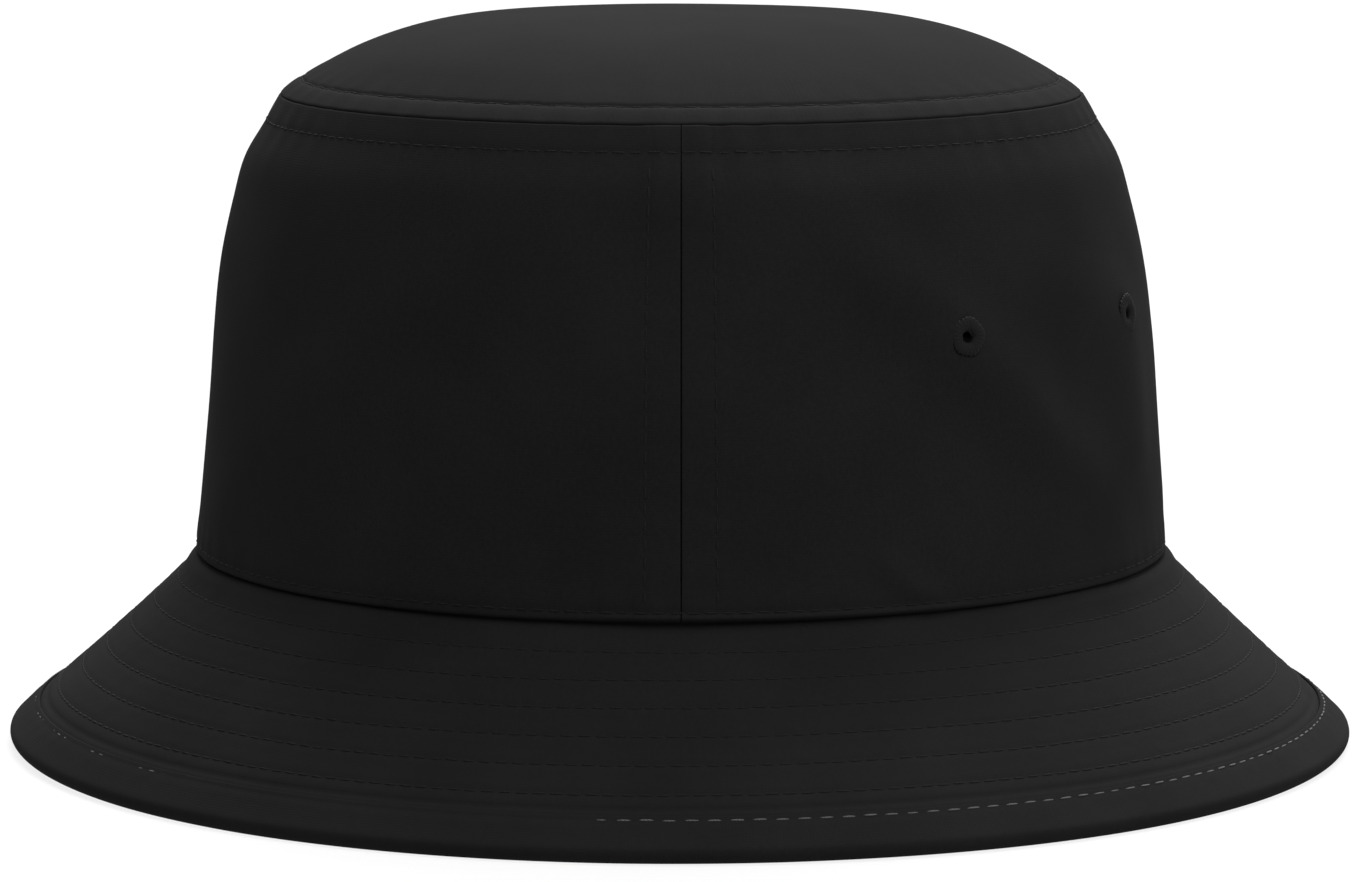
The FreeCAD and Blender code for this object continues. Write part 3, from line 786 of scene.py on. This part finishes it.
def make_stitches():
    for name, skin, place in (("tip_topstitch", tip, TIP_SEAM_R - TIP_ROW),
                              ("side_topstitch", side, TIP_SEAM_Z - SIDE_ROW),
                              ("crown_base_stitch", side, CROWN_BASE_Z + EDGE_STITCH)):
        bm = bmesh.new()
        stitch_ring(bm, skin, place, -1, wide=0.36, high=0.28)
        stitch_piece(name, bm, black_yarn)
    for n, s in enumerate(BRIM_ROWS):
        bm = bmesh.new()
        stitch_ring(bm, brim, s, -1)
        stitch_ring(bm, brim, s, BRIM_STACK)
        stitch_piece(f"brim_stitch_row_{n + 1}", bm, black_yarn)
    bm = bmesh.new()
    stitch_ring(bm, lambda turn, s, d: binding(turn, s, d - BINDING), BINDING_ROW, -1,
                BINDING_PITCH, 0.34, 0.4, 0.06, thread_sink)
    stitch_ring(bm, lambda turn, s, d: binding(turn, s, d + BINDING), BINDING_ROW, BRIM_STACK,
                BINDING_PITCH, 0.34, 0.4, 0.06)
    stitch_piece("binding_stitch", bm, grey_yarn)
    bm = bmesh.new()
    stitch_ring(bm, band, SWEATBAND_ROW_Z, SWEATBAND_DEPTH)
    stitch_piece("sweatband_stitch", bm, black_yarn)
    for name, turn in (("front_seam_stitch", 0.0), ("back_seam_stitch", 180.0)):
        bm = bmesh.new()
        for away in (-TOPSTITCH, TOPSTITCH):
            at_turn = turn + math.degrees(away / SIDE_R)
            for z in spread(CROWN_BASE_Z + 4.2, TIP_SEAM_Z - TOPSTITCH - 2.2, STITCH_PITCH):
                at = side(at_turn, z, 0)
                along = (side(at_turn, z + 0.5, 0) - side(at_turn, z - 0.5, 0)).normalized()
                out = (at - side(at_turn, z, 0.6)).normalized()
                add_stitch(bm, at - out * 0.02 * MM, along, out,
                           STITCH_LENGTH * MM, STITCH_WIDE * MM, STITCH_HIGH * MM)
        stitch_piece(name, bm, black_yarn)


# ---- the set


def make_set():
    floor = bpy.data.meshes.new("floor")
    bm = bmesh.new()
    bmesh.ops.create_grid(bm, x_segments=1, y_segments=1, size=14)
    bm.to_mesh(floor)
    bm.free()
    ground = bpy.data.objects.new("floor", floor)
    bpy.context.scene.collection.objects.link(ground)
    paper = bpy.data.materials.new("white paper")
    paper.use_nodes = True
    for socket, value in (("Base Color", (0.09, 0.09, 0.09, 1)), ("Emission Color", (1, 1, 1, 1)),
                          ("Emission Strength", 0.82), ("Roughness", 1.0), ("Specular IOR Level", 0.0)):
        paper.node_tree.nodes["Principled BSDF"].inputs[socket].default_value = value
    floor.materials.append(paper)
    world = bpy.data.worlds.new("room")
    world.use_nodes = True
    world.node_tree.nodes["Background"].inputs["Color"].default_value = (1, 1, 1, 1)
    world.node_tree.nodes["Background"].inputs["Strength"].default_value = 0.3
    bpy.context.scene.world = world
    side_lamp = bpy.data.lights.new("right softbox", "AREA")
    side_lamp.shape, side_lamp.size, side_lamp.energy = "SQUARE", 1.2, 21
    softbox = bpy.data.objects.new("right softbox", side_lamp)
    softbox.location = (2.0, -0.8, 1.2)
    softbox.rotation_euler = (Vector((0, 0, 0.06)) - softbox.location).to_track_quat("-Z", "Y").to_euler()
    bpy.context.scene.collection.objects.link(softbox)
    for name, heading, power, spread_angle in (("ceiling light", (-0.1, 0.1, -1.0), 3.0, 90),
                                               ("back light", (-0.1, -0.75, -1.0), 6.0, 40)):
        lamp = bpy.data.lights.new(name, "SUN")
        lamp.energy, lamp.angle = power, math.radians(spread_angle)
        light = bpy.data.objects.new(name, lamp)
        light.rotation_euler = Vector(heading).to_track_quat("-Z", "Y").to_euler()
        bpy.context.scene.collection.objects.link(light)
    lens = bpy.data.cameras.new("camera")
    lens.sensor_width, lens.lens = 36.0, 176.4
    lens.clip_start, lens.clip_end = 0.05, 100
    camera = bpy.data.objects.new("camera", lens)
    camera.location = (-0.00036, -1.213, 0.202)
    camera.rotation_euler = (math.radians(90 - 6.98), 0, 0)
    bpy.context.scene.collection.objects.link(camera)
    bpy.context.scene.camera = camera
    bpy.context.scene.view_settings.view_transform = "Standard"
    bpy.context.scene.view_settings.look = "None"


make_tip()
make_side_panel("side_panel_left", 0.0, [EYELETS["eyelet_left_front"], EYELETS["eyelet_left_rear"]])
make_side_panel("side_panel_right", 180.0, [EYELETS["eyelet_right_rear"], EYELETS["eyelet_right_front"]])
for name, turn in EYELETS.items():
    make_eyelet(name, turn)
make_tapes()
make_brim()
make_binding()
make_sweatband()
make_label("care_label", CARE_LABEL, 180.0)
make_label("size_label", SIZE_LABEL, 158.0)
make_stitches()
make_set()
